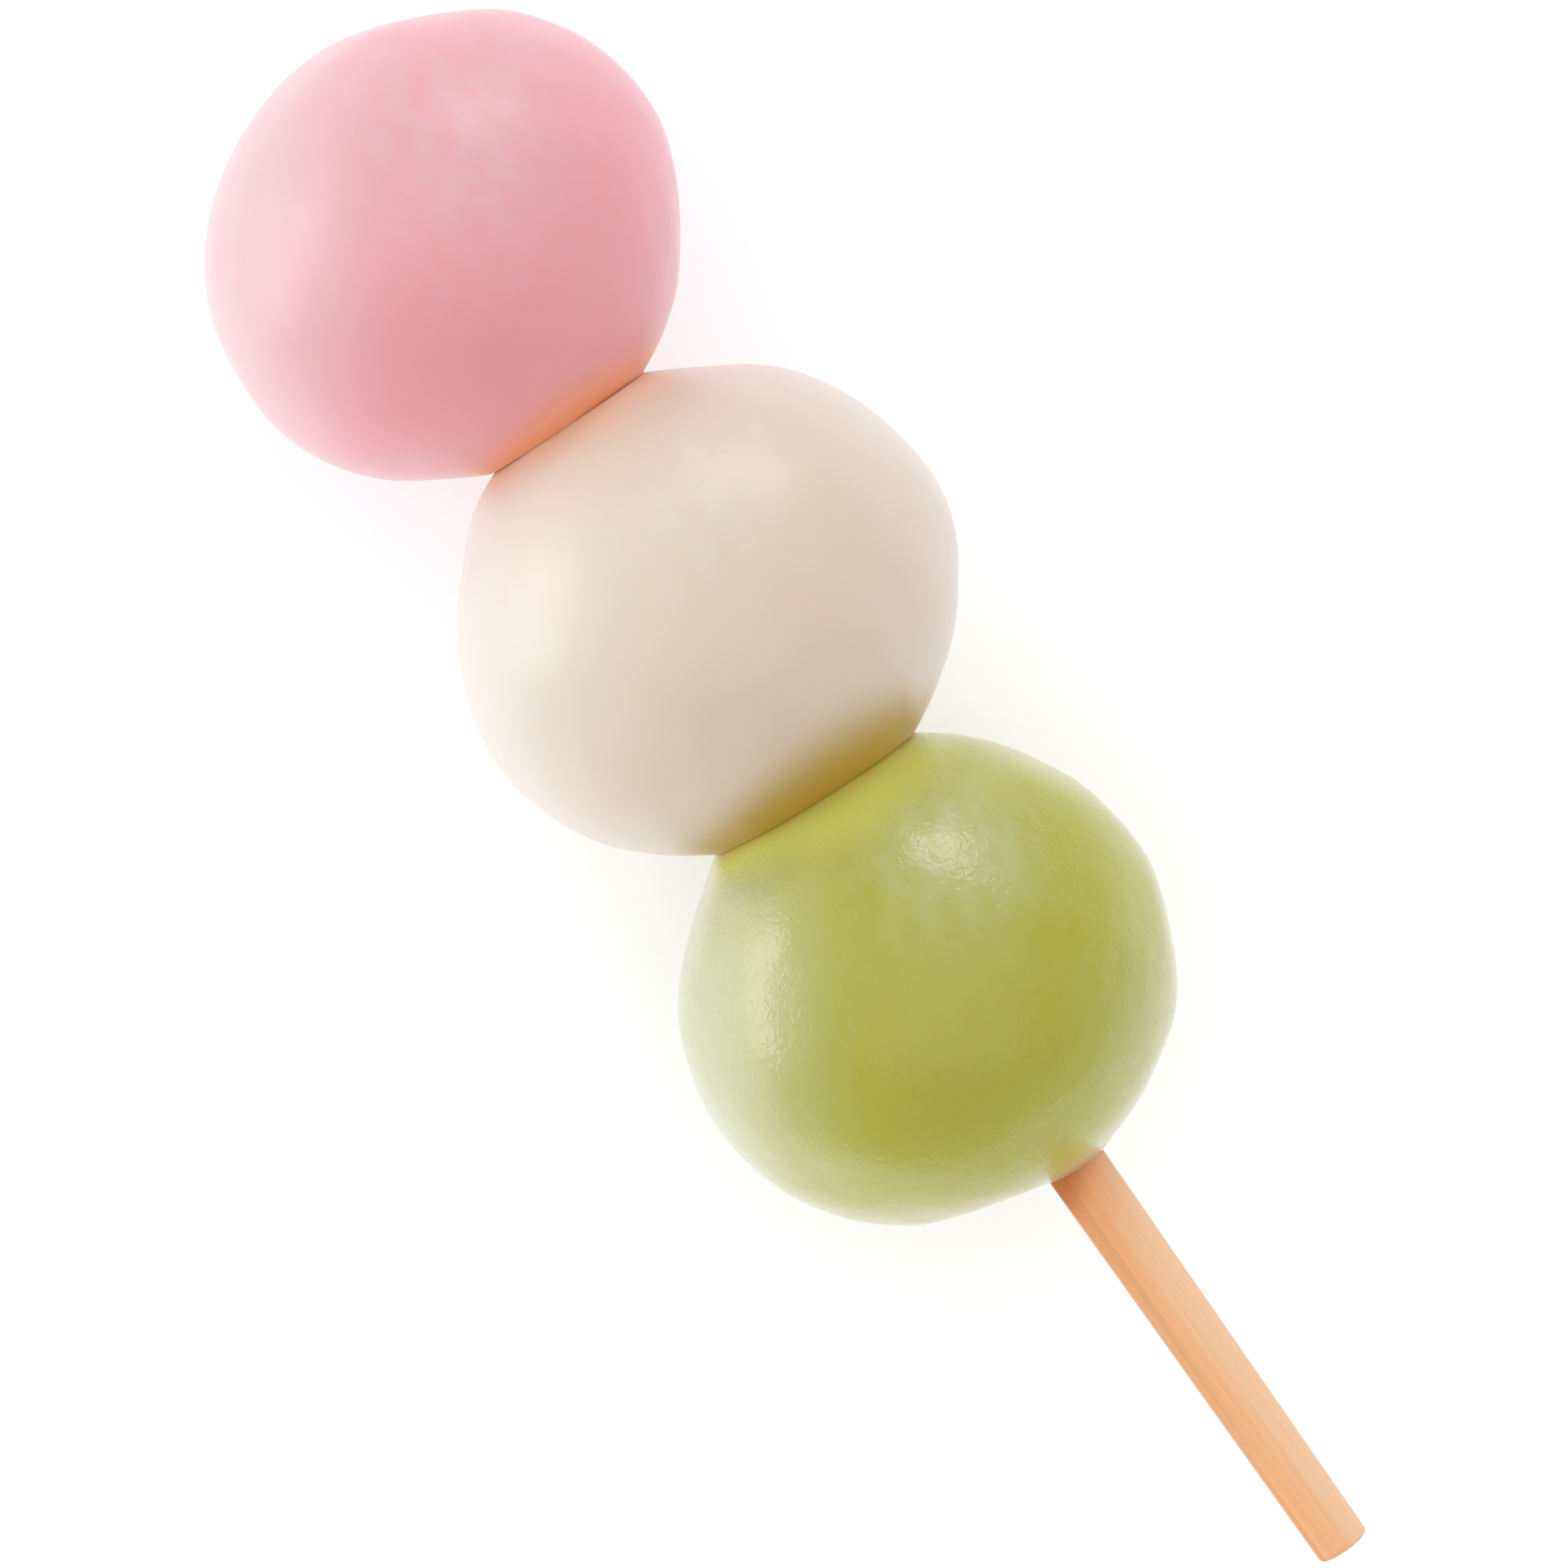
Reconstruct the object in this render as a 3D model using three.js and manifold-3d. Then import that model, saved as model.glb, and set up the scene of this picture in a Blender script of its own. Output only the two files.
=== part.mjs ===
// Hanami dango: three hand-rolled balls of steamed rice dough, pink, white and green, pressed together on one
// round bamboo skewer and laid down on a table.
//
// Millimetres, +Z up. The skewer runs along X, from its point inside the pink ball to the blunt end that is held.
// The table is the plane z = 0, and the origin is the middle of the footprint. Until the last lines, x is counted
// from the pink ball's crown and y from the skewer's centre line.

import * as THREE from "three";
import { mergeVertices } from "three/addons/utils/BufferGeometryUtils.js";
import Module from "manifold-3d";

const wasm = await Module();
wasm.setup();

// ---------------------------------------------------------------------------------------------------------------
// Driving dimensions
// ---------------------------------------------------------------------------------------------------------------

const TOUCH_GAP = 0.2; // left between dough and bamboo, and between two balls that are pressed together
const BALL_DETAIL = 12; // each edge of the icosahedron is split into this many pieces and one more
const ROOM = 60; // side of a trimming block: more than any ball

const skewer = {
  height: 14, // centre line above the table
  pointX: 5.5, // the sharp end stays inside the pink ball
  pointLength: 11,
  pointRadius: 0.5,
  shaftRadius: 1.87,
  exitX: 79.2, // the shaft is even up to here, and the bare handle tapers from here on
  endX: 107,
  endRadius: 1.68,
  endEase: 0.32, // the rounding of the sawn end
  endDome: 0.12, // how far the middle of the sawn end stands out past its rounded edge
  flutes: 9, // shallow facets left by the knives of the dowel machine
  fluteDepth: 0.035,
  sides: 36,
};

// Where two balls are pressed together: the place on the skewer, and how far the contact is slanted in plan.
const contacts = {
  pinkToWhite: { x: 26.05, slant: 1.6 },
  whiteToGreen: { x: 52.05, slant: 3.4 },
};

// A ball is an egg: an ellipse in plan with one half-length towards the skewer's point and another towards its
// held end, turned a little in plan. Hands and the tray pressed soft flats into it. Each flat faces a bearing,
// counted from +X towards +Y, and a rise above the horizontal, and is a number of millimetres deep.
const balls = [
  {
    name: "pink_ball",
    colour: "#eba7ae",
    x: 13.6,
    y: 0.85,
    halfWidth: 14.7,
    halfHeight: 14.2,
    towardPoint: 13.6,
    towardEnd: 13.4,
    turn: 9,
    foot: 0.5,
    flats: [
      { bearing: 155, rise: 0, depth: 0.2, softness: 1.2 },
      { bearing: 60, rise: 0, depth: 0.05, softness: 1.2 },
      { bearing: -97, rise: 0, depth: 0, softness: 0.7 },
      { bearing: -150, rise: 50, depth: 0.1, softness: 1.4 },
      { bearing: 95, rise: -42, depth: 0.15, softness: 1.6 },
    ],
    contact: { towardEnd: contacts.pinkToWhite },
  },
  {
    name: "white_ball",
    colour: "#ecdfd0",
    x: 40.45,
    y: 1.15,
    halfWidth: 15.4,
    halfHeight: 14.8,
    towardPoint: 15.25,
    towardEnd: 12.8,
    turn: 2,
    foot: 0.55,
    flats: [
      { bearing: 154, rise: 0, depth: 0.3, softness: 1 },
      { bearing: -130, rise: 0, depth: 0, softness: 0.8 },
      { bearing: 55, rise: 0, depth: 0, softness: 0.8 },
      { bearing: -80, rise: 48, depth: 0.1, softness: 1.5 },
      { bearing: 40, rise: -45, depth: 0.1, softness: 1.4 },
    ],
    contact: {
      towardPoint: contacts.pinkToWhite,
      towardEnd: contacts.whiteToGreen,
    },
  },
  {
    name: "green_ball",
    colour: "#bfc06a",
    x: 65.85,
    y: -1.05,
    halfWidth: 15.05,
    halfHeight: 14.5,
    towardPoint: 15.45,
    towardEnd: 13.25,
    turn: -7,
    foot: 0.5,
    flats: [
      { bearing: -13, rise: 0, depth: 0.25, softness: 1 },
      { bearing: -140, rise: 0, depth: 0.25, softness: 1 },
      { bearing: 64, rise: 0, depth: 0.15, softness: 1.2 },
      { bearing: 110, rise: 46, depth: 0.1, softness: 1.4 },
      { bearing: -70, rise: -40, depth: 0.1, softness: 1.5 },
    ],
    // Dough that clings to the bamboo where the handle comes out.
    lip: { height: 0.3, width: 1.1 },
    contact: { towardPoint: contacts.whiteToGreen },
  },
];

// ---------------------------------------------------------------------------------------------------------------
// From three.js geometry to manifold-3d solids and back
// ---------------------------------------------------------------------------------------------------------------

function weld(geometry) {
  geometry.deleteAttribute("normal");
  geometry.deleteAttribute("uv");
  return mergeVertices(geometry);
}

function solidOf(geometry) {
  const welded = weld(geometry);
  return new wasm.Manifold(
    new wasm.Mesh({
      numProp: 3,
      vertProperties: welded.getAttribute("position").array,
      triVerts: new Uint32Array(welded.index.array),
    }),
  );
}

function geometryOf(solid) {
  const mesh = solid.getMesh();
  const geometry = new THREE.BufferGeometry();
  geometry.setAttribute(
    "position",
    new THREE.BufferAttribute(mesh.vertProperties, 3),
  );
  geometry.setIndex(new THREE.BufferAttribute(mesh.triVerts, 1));
  geometry.computeVertexNormals();
  return geometry;
}

// ---------------------------------------------------------------------------------------------------------------
// The skewer
// ---------------------------------------------------------------------------------------------------------------

// The smooth outline from the axis at the point to the axis at the sawn end, as [x, radius] pairs.
// `grow` makes it larger all round, for the hole that the skewer fills.
function skewerOutline(grow = 0) {
  const { pointX, pointLength, pointRadius, shaftRadius } = skewer;
  const { exitX, endX, endRadius, endEase, endDome } = skewer;
  const rim = endX - endDome;
  const outline = [
    [pointX - grow, 0],
    [pointX - grow, pointRadius + grow],
    [pointX + pointLength, shaftRadius + grow],
    [exitX, shaftRadius + grow],
    [rim - endEase + grow, endRadius + grow],
  ];
  const easeSteps = 3;
  for (let i = 1; i <= easeSteps; i++) {
    const angle = (i / easeSteps) * (Math.PI / 2);
    outline.push([
      rim - endEase * (1 - Math.sin(angle)) + grow,
      endRadius - endEase * (1 - Math.cos(angle)) + grow,
    ]);
  }
  outline.push([endX + grow, 0]);
  return outline;
}

// The outline turned about X, with shallow flutes worked in along the whole length.
function skewerGeometry(grow = 0) {
  const profile = skewerOutline(grow).map(
    ([x, radius]) => new THREE.Vector2(radius, x),
  );
  const geometry = new THREE.LatheGeometry(profile, skewer.sides);
  geometry.rotateZ(-Math.PI / 2); // the lathe turns about Y: its +Y becomes +X
  const place = geometry.getAttribute("position");
  for (let i = 0; i < place.count; i++) {
    const around = Math.atan2(place.getZ(i), place.getY(i));
    const wave = 0.5 - 0.5 * Math.cos(skewer.flutes * around);
    const share = 1 - (skewer.fluteDepth * wave) / skewer.shaftRadius;
    place.setY(i, place.getY(i) * share);
    place.setZ(i, place.getZ(i) * share);
  }
  return weld(geometry);
}

function makeSkewer() {
  const bamboo = new THREE.MeshStandardMaterial({
    color: "#f0b483",
    roughness: 0.6,
    metalness: 0,
  });
  const mesh = new THREE.Mesh(skewerGeometry(), bamboo);
  mesh.geometry.computeVertexNormals();
  mesh.name = "skewer";
  mesh.position.set(0, 0, skewer.height);
  return mesh;
}

// ---------------------------------------------------------------------------------------------------------------
// The balls
// ---------------------------------------------------------------------------------------------------------------

const UP = new THREE.Vector3(0, 0, 1);

// The unit vector that faces a bearing in plan and a rise above it, both in degrees.
function facing({ bearing, rise }) {
  const around = THREE.MathUtils.degToRad(bearing);
  const above = THREE.MathUtils.degToRad(rise);
  return new THREE.Vector3(
    Math.cos(above) * Math.cos(around),
    Math.cos(above) * Math.sin(around),
    Math.sin(above),
  );
}

// The smaller of two lengths, rounded over where they are nearly alike.
function softMin(a, b, softness) {
  const near = Math.max(softness - Math.abs(a - b), 0) / softness;
  return Math.min(a, b) - (near * near * softness) / 4;
}

// The egg's three half-axes on the side that `direction` points to, and that direction in the egg's own frame.
function eggAlong(ball, direction) {
  const own = direction
    .clone()
    .applyAxisAngle(UP, -THREE.MathUtils.degToRad(ball.turn));
  const halfLength = own.x < 0 ? ball.towardPoint : ball.towardEnd;
  const halves = new THREE.Vector3(halfLength, ball.halfWidth, ball.halfHeight);
  return { own, halves };
}

// How far the dough's skin is from the ball's middle in a direction.
function reach(ball, direction) {
  const { own, halves } = eggAlong(ball, direction);
  let radius = 1 / own.divide(halves).length();
  for (const flat of ball.flats) {
    const towards = facing(flat);
    const share = direction.dot(towards);
    if (share <= 0) continue;
    const egg = eggAlong(ball, towards);
    const flatAt = egg.own.multiply(egg.halves).length() - flat.depth;
    radius = softMin(radius * share, flatAt, flat.softness) / share;
  }
  if (ball.lip && direction.x > 0) {
    const fromAxis =
      Math.hypot(
        ball.y + radius * direction.y,
        middleHeight(ball) + radius * direction.z - skewer.height,
      ) - skewer.shaftRadius;
    radius += ball.lip.height * Math.exp(-((fromAxis / ball.lip.width) ** 2));
  }
  return radius;
}

// The ball has sagged onto the table: the egg would reach below it by the depth of the foot.
function middleHeight(ball) {
  return ball.halfHeight - ball.foot;
}

function doughGeometry(ball) {
  const geometry = weld(new THREE.IcosahedronGeometry(1, BALL_DETAIL));
  const place = geometry.getAttribute("position");
  const direction = new THREE.Vector3();
  for (let i = 0; i < place.count; i++) {
    direction.fromBufferAttribute(place, i).normalize();
    direction.multiplyScalar(reach(ball, direction));
    place.setXYZ(i, direction.x, direction.y, direction.z);
  }
  return geometry;
}

// A block whose top lies on the table, in the ball's own frame.
function tableBlock(ball) {
  const block = new THREE.BoxGeometry(ROOM, ROOM, ROOM);
  return block.translate(0, 0, -middleHeight(ball) - ROOM / 2);
}

// A block that takes off what lies beyond a contact with the next ball. `side` is -1 towards the point, 1 towards
// the held end.
function contactBlock(ball, contact, side) {
  const block = new THREE.BoxGeometry(ROOM, ROOM, ROOM);
  block.translate(side * (ROOM / 2 - TOUCH_GAP / 2), 0, 0);
  block.rotateZ(-THREE.MathUtils.degToRad(contact.slant));
  return block.translate(contact.x - ball.x, -ball.y, 0);
}

// The hole that the skewer fills, in the ball's own frame.
function boreGeometry(ball) {
  return skewerGeometry(TOUCH_GAP).translate(
    -ball.x,
    -ball.y,
    skewer.height - middleHeight(ball),
  );
}

function makeBall(ball) {
  const trims = [tableBlock(ball), boreGeometry(ball)];
  if (ball.contact.towardPoint)
    trims.push(contactBlock(ball, ball.contact.towardPoint, -1));
  if (ball.contact.towardEnd)
    trims.push(contactBlock(ball, ball.contact.towardEnd, 1));
  const solid = trims.reduce(
    (dough, trim) => dough.subtract(solidOf(trim)),
    solidOf(doughGeometry(ball)),
  );
  const dough = new THREE.MeshStandardMaterial({
    color: ball.colour,
    roughness: 0.5,
    metalness: 0,
  });
  const mesh = new THREE.Mesh(geometryOf(solid), dough);
  mesh.name = ball.name;
  mesh.position.set(ball.x, ball.y, middleHeight(ball));
  return mesh;
}

// ---------------------------------------------------------------------------------------------------------------
// The whole skewer, moved so that the origin is the middle of its footprint
// ---------------------------------------------------------------------------------------------------------------

const dango = new THREE.Group();
dango.name = "dango_skewer";
dango.add(makeSkewer(), ...balls.map(makeBall));

const footprint = new THREE.Box3().setFromObject(dango, true);
const middle = footprint.getCenter(new THREE.Vector3());
dango.position.set(-middle.x, -middle.y, 0);

export default dango;
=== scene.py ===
# %% [markdown]
# # Three dumplings on a bamboo skewer
#
# Hanami dango are balls of rice flour dough, rolled between the palms, boiled or steamed, and pushed onto a
# bamboo skewer while they are still sticky. This lesson gives four plain solids the look of the real thing:
# uneven hand-rolled balls with a moist, faintly see-through skin, and a bamboo stick with fibres along it.
#
# The solids come from a frame that fixes every place and size, in metres, with X along the skewer and Z up.
# Nothing here moves them. Each one is swapped for a finer piece that fills the same space.

import math

import bpy
import numpy as np
from mathutils import Matrix, Vector


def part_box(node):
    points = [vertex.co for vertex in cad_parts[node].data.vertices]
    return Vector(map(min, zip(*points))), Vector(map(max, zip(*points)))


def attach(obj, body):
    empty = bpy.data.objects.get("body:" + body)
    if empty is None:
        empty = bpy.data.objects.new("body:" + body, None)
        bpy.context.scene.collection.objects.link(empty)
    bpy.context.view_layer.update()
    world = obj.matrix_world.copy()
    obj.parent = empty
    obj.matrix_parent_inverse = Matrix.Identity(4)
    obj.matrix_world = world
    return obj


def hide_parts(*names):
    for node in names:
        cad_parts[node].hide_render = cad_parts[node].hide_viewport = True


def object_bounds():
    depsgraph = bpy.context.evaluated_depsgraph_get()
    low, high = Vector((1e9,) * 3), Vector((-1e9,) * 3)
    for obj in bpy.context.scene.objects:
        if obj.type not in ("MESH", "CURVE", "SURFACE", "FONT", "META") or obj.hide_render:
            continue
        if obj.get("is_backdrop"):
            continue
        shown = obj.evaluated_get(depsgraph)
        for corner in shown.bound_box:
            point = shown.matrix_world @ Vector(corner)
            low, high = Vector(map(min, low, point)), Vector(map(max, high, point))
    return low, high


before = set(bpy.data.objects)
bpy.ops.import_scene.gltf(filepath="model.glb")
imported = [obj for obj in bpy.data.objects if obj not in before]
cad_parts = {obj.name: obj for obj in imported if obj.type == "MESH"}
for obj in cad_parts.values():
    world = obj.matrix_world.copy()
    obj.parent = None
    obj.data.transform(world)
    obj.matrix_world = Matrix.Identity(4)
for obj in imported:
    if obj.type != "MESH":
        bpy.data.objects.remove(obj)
solid_bounds = [list(corner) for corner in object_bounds()]
MM = 0.001
solid_size = [(high - low) / MM for low, high in zip(*solid_bounds)]
print("nodes:", sorted(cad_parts))
print("size of the solids in mm:", [round(length, 1) for length in solid_size])

# %% [markdown]
# ## Where the measures start
#
# A maker measures along the skewer from the first ball's crown, and to the side from the skewer's middle.
# Both are read from the frame's boxes, so the measures below stay right if the whole is shifted.

# %% Find the skewer's centre line and the first ball's crown
stick_low, stick_high = (np.array(corner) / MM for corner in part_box("skewer"))
CROWN_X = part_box("pink_ball")[0].x / MM
AXIS_Y = (stick_low[1] + stick_high[1]) / 2
AXIS_Z = (stick_low[2] + stick_high[2]) / 2
START = np.array([CROWN_X, AXIS_Y, 0.0])
print("measures start at, in mm:", START.round(3), "with the skewer", round(AXIS_Z, 2), "above the table")

# %% [markdown]
# ## The camera
#
# A lens of long focal length keeps the balls round, as a wide lens close by would stretch the outer ones. The
# camera looks almost straight down. It leans a little towards the pink ball, which is why each contact
# between two balls shows as a shallow smile and the skewer slips out from under the green ball's rim. Then it
# is rolled, so that the skewer runs from the upper left of the picture to the lower right.

# %% Place the camera
CAMERA_DISTANCE = 500.0
PICTURE_WIDTH = 92.0  # what the frame spans at the skewer's height
LEAN_DEG = 4.5
ROLL_DEG = 35.15  # between the skewer and the picture's upright
CAMERA_TARGET = START + np.array([50.7, -1.105, AXIS_Z])
SENSOR_WIDTH = 36.0

lean, roll = math.radians(LEAN_DEG), math.radians(ROLL_DEG)
towards_camera = Vector((-math.sin(lean), 0, math.cos(lean)))
along_skewer = Vector((math.cos(lean), 0, math.sin(lean)))
across_skewer = towards_camera.cross(along_skewer)
picture_right = along_skewer * math.sin(roll) + across_skewer * math.cos(roll)
picture_up = across_skewer * math.sin(roll) - along_skewer * math.cos(roll)

camera_data = bpy.data.cameras.new("camera")
camera_data.sensor_width = SENSOR_WIDTH
camera_data.lens = SENSOR_WIDTH * CAMERA_DISTANCE / PICTURE_WIDTH
camera = bpy.data.objects.new("camera", camera_data)
bpy.context.scene.collection.objects.link(camera)
turn = Matrix((picture_right, picture_up, towards_camera)).transposed()
place = Vector(CAMERA_TARGET * MM) + towards_camera * CAMERA_DISTANCE * MM
camera.matrix_world = Matrix.Translation(place) @ turn.to_4x4()
bpy.context.scene.camera = camera
print("lens:", round(camera_data.lens), "mm")

# %% [markdown]
# ## Measures of the balls
#
# No two hand-rolled balls are alike. Each is an egg: an ellipse seen from above, with one half-length towards
# the skewer's point and another towards its held end, turned a little. The palms and the tray leave soft
# flats on it, and its own weight a foot. A sculptor's route would be to push a sphere about by hand. A few
# measured numbers and one formula are easier to correct, and they fit the frame to a tenth of a millimetre.

# %% Write down the measures, in millimetres and degrees
# A flat is (bearing from +X towards +Y, rise above level, depth, softness of its edge). Of the half-lengths
# the first is the one towards the skewer's point.
BALLS = {
    "pink_ball": dict(
        middle=(13.6, 0.85),
        half_width=14.7,
        half_height=14.2,
        half_lengths=(13.6, 13.4),
        turned=9,
        foot=0.5,
        flats=[
            (155, 0, 0.2, 1.2),
            (60, 0, 0.05, 1.2),
            (-97, 0, 0, 0.7),
            (-150, 50, 0.1, 1.4),
            (95, -42, 0.15, 1.6),
        ],
    ),
    "white_ball": dict(
        middle=(40.45, 1.15),
        half_width=15.4,
        half_height=14.8,
        half_lengths=(15.25, 12.8),
        turned=2,
        foot=0.55,
        flats=[
            (154, 0, 0.3, 1.0),
            (-130, 0, 0, 0.8),
            (55, 0, 0, 0.8),
            (-80, 48, 0.1, 1.5),
            (40, -45, 0.1, 1.4),
        ],
    ),
    "green_ball": dict(
        middle=(65.85, -1.05),
        half_width=15.05,
        half_height=14.5,
        half_lengths=(15.45, 13.25),
        turned=-7,
        foot=0.5,
        flats=[
            (-13, 0, 0.25, 1.0),
            (-140, 0, 0.25, 1.0),
            (64, 0, 0.15, 1.2),
            (110, 46, 0.1, 1.4),
            (-70, -40, 0.1, 1.5),
        ],
    ),
}

# %% Write down the contacts
# Where two balls are pressed together: the place along the skewer, and the contact's slant seen from above.
CONTACTS = {"pink_to_white": (26.05, 1.6), "white_to_green": (52.05, 3.4)}
# Which contact bounds each ball towards the point and towards the held end.
NEIGHBOURS = {
    "pink_ball": (None, "pink_to_white"),
    "white_ball": ("pink_to_white", "white_to_green"),
    "green_ball": ("white_to_green", None),
}
print("contacts at", [at for at, _ in CONTACTS.values()], "mm behind the crown")

# %% [markdown]
# ## The skin of a ball
#
# For every direction out of the ball's middle, the formula gives the distance to the skin: first that of the
# egg, then each flat takes a little off, rounded over where the two meet. `soft_min` does that rounding. It
# is the smaller of two lengths, blended over a width called its softness.


# %% Helpers for lengths and directions
def soft_min(a, b, softness):
    """The smaller of two lengths, rounded over where they are nearly equal."""
    near = np.maximum(softness - np.abs(a - b), 0) / softness
    return np.minimum(a, b) - near * near * softness / 4


def facing(bearing, rise):
    """The direction at a bearing from +X towards +Y and a rise above level, in degrees."""
    around, above = math.radians(bearing), math.radians(rise)
    level = math.cos(above)
    return np.array([level * math.cos(around), level * math.sin(around), math.sin(above)])


print("30 degrees above +X is", facing(bearing=0, rise=30).round(3))


# %% Work out how far the skin is in any direction
def egg_along(ball, directions):
    """The directions in the egg's own frame, and its three half-axes on the side that each points to."""
    turned = math.radians(ball["turned"])
    x, y, z = np.moveaxis(directions, -1, 0)
    own_x = x * math.cos(turned) + y * math.sin(turned)
    own_y = y * math.cos(turned) - x * math.sin(turned)
    towards_point, towards_end = ball["half_lengths"]
    half_length = np.where(own_x < 0, towards_point, towards_end)
    own = np.stack([own_x, own_y, z], axis=-1)
    others = [np.full_like(half_length, ball[key]) for key in ("half_width", "half_height")]
    return own, np.stack([half_length, *others], axis=-1)


GRAZING = 0.03  # a direction with a smaller cosine than this to a flat's own never meets it


def reach(ball, directions):
    """How far it is from an egg's middle to its skin in each direction, with the flats taken off."""
    own, halves = egg_along(ball, directions)
    radius = 1 / np.linalg.norm(own / halves, axis=-1)
    for bearing, rise, depth, softness in ball["flats"]:
        towards = facing(bearing, rise)
        flat_own, flat_halves = egg_along(ball, towards)
        flat_at = np.linalg.norm(flat_own * flat_halves) - depth
        share = directions @ towards
        seen = share > GRAZING
        safe_share = np.where(seen, share, 1)
        pressed = soft_min(radius * safe_share, flat_at, softness) / safe_share
        radius = np.where(seen, pressed, radius)
    return radius


for name, ball in BALLS.items():
    widest = reach(ball, np.array([[0, 1, 0], [0, -1, 0]])).sum()
    print(name, "is", round(float(widest), 2), "mm across")

# %% [markdown]
# ## Hand-rolled unevenness
#
# Between the flats, a rolled ball still has low swells, a few millimetres wide and a tenth deep. They can't
# be seen as such, but they bend the soft reflections, and a perfectly smooth ball looks like plastic without
# them. They are a sum of sine waves in fixed random directions. The sum is only ever taken off the skin,
# never added, so that the finer ball stays inside the solid that it stands for.

# %% Make the swells
SWELLS = {9.0: 0.05, 5.5: 0.03, 3.2: 0.012, 1.7: 0.004}  # length of a wave, and its height
WAVES_PER_LENGTH = 6
SWELL_MIDDLE = 0.12  # how deep the skin lies where the waves cancel out
SWELL_LEAST = 0.02  # how deep it lies on the highest swell


def swell_depth(points, seed):
    """How much is taken off the skin at each point."""
    draw = np.random.default_rng(seed)
    depth = np.full(points.shape[:-1], SWELL_MIDDLE)
    for length, amplitude in SWELLS.items():
        for _ in range(WAVES_PER_LENGTH):
            heading = draw.normal(size=3)
            heading *= 2 * math.pi / length / np.linalg.norm(heading)
            wave = np.sin(points @ heading + draw.uniform(0, 2 * math.pi))
            depth += amplitude / math.sqrt(WAVES_PER_LENGTH) * wave
    return np.maximum(depth, SWELL_LEAST)


sample = swell_depth(np.random.default_rng(0).uniform(-15, 15, (1000, 3)), seed=1)
print("taken off the skin: from", sample.min().round(3), "to", sample.max().round(3), "mm")

# %% [markdown]
# ## Rings round the skewer
#
# A ball on a skewer is a bead, so its mesh is made as a turner would see it: rings round the skewer, from the
# hole on one side over the skin to the hole on the other, and back through the ball along the skewer. All
# faces are quads, and the mesh closes on itself. The pink ball's crown has no hole, so its rings end in a cap
# there, and another cap closes the pocket that the skewer's point sits in.
#
# One ring lies right on the rim of each contact, where the skin bends most, with its neighbours close to it.
# Each ray from the skewer's axis finds the skin by a few steps of the same guess: walk along the ray until
# the formula agrees.

# %% Measures of the skewer
POINT_X = stick_low[0] - CROWN_X
END_X = stick_high[0] - CROWN_X
EXIT_X = 79.2  # the shaft is even up to here, and the bare handle tapers from here on
POINT_LENGTH = 11.0
POINT_RADIUS = 0.5
SHAFT_RADIUS = 1.87
END_RADIUS = 1.68
print("the skewer runs from", round(POINT_X, 2), "to", round(END_X, 2), "mm behind the crown")

# %% Send rays out from the skewer's axis
AROUND = 208
around = np.arange(AROUND) * 2 * math.pi / AROUND
CONTACT_GAP = 0.005  # two balls that cling to each other are still two pieces
FAR_AWAY = 1000.0
LEAST_CROSSING = 0.05  # a ray with a smaller cosine than this to a plane's normal misses the plane
starts = {name: np.array([ball["middle"][0], 0, AXIS_Z]) for name, ball in BALLS.items()}


def rays(polar):
    """Unit vectors at a polar angle from +X, one row for each ring."""
    polar = np.broadcast_to(polar, (len(polar), AROUND))
    off_axis = np.sin(polar)
    return np.stack([np.cos(polar), off_axis * np.cos(around), off_axis * np.sin(around)], axis=-1)


def contact_plane(contact):
    """A point on the plane where two balls are pressed together, and the plane's normal."""
    at, slant_deg = CONTACTS[contact]
    slant = math.radians(slant_deg)
    return np.array([at, 0, 0]), np.array([math.cos(slant), -math.sin(slant), 0])


def contact_distance(contact, start, directions):
    """How far the rays from start run to the plane of a contact."""
    point, normal = contact_plane(contact)
    gap = (point - start) @ normal
    gap -= CONTACT_GAP / 2 * np.sign(gap)
    towards = directions @ normal
    crossing = towards * np.sign(gap) > LEAST_CROSSING
    return np.where(crossing, gap / np.where(crossing, towards, 1), FAR_AWAY)


reach_ahead = contact_distance("pink_to_white", starts["pink_ball"], np.array([1.0, 0, 0]))
print("straight ahead the pink ball ends after", reach_ahead.round(2), "mm")

# %% Find the skin of a ball that lies alone
FIRST_SEED = 11  # each ball draws its own swells
SKIN_STEPS = 12  # so many steps of the guess settle where a ray meets the skin
LIP_HEIGHT = 0.28  # dough drawn out along the stick where it leaves the green ball
LIP_WIDTH = 0.9


def lone_skin_distance(name, directions):
    """How far the rays from a ball's start on the skewer's axis would run in it if it lay alone."""
    ball = BALLS[name]
    start = starts[name]
    height = ball["half_height"] - ball["foot"]
    centre = np.array([*ball["middle"], height])
    distance = np.full(directions.shape[:-1], ball["half_width"])
    for _ in range(SKIN_STEPS):
        out = start + directions * distance[..., None] - centre
        length = np.linalg.norm(out, axis=-1)
        distance *= reach(ball, out / length[..., None]) / length
    points = start + directions * distance[..., None]
    distance -= swell_depth(points, seed=FIRST_SEED + list(BALLS).index(name))
    if name == "green_ball":
        off_axis = np.hypot(points[..., 1], points[..., 2] - AXIS_Z) - SHAFT_RADIUS
        lip = LIP_HEIGHT * np.exp(-((off_axis / LIP_WIDTH) ** 2))
        distance += np.where(directions[..., 0] > 0, lip, 0)
    return distance


# %% [markdown]
# Where two balls are pressed together, their skins meet in one crease with no step between them. So both
# balls are cut by the contact's plane, the two cuts are averaged, and each skin is drawn to the average close
# by. The dough is sticky, so the crease isn't a deep groove: a little of it is pulled up between the two.

# %% Measure how far two lone skins miss each other
CUT_ANGLES = np.linspace(0.15, 0.8, 160)[:, None]  # polar angles between which every cut lies


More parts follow.
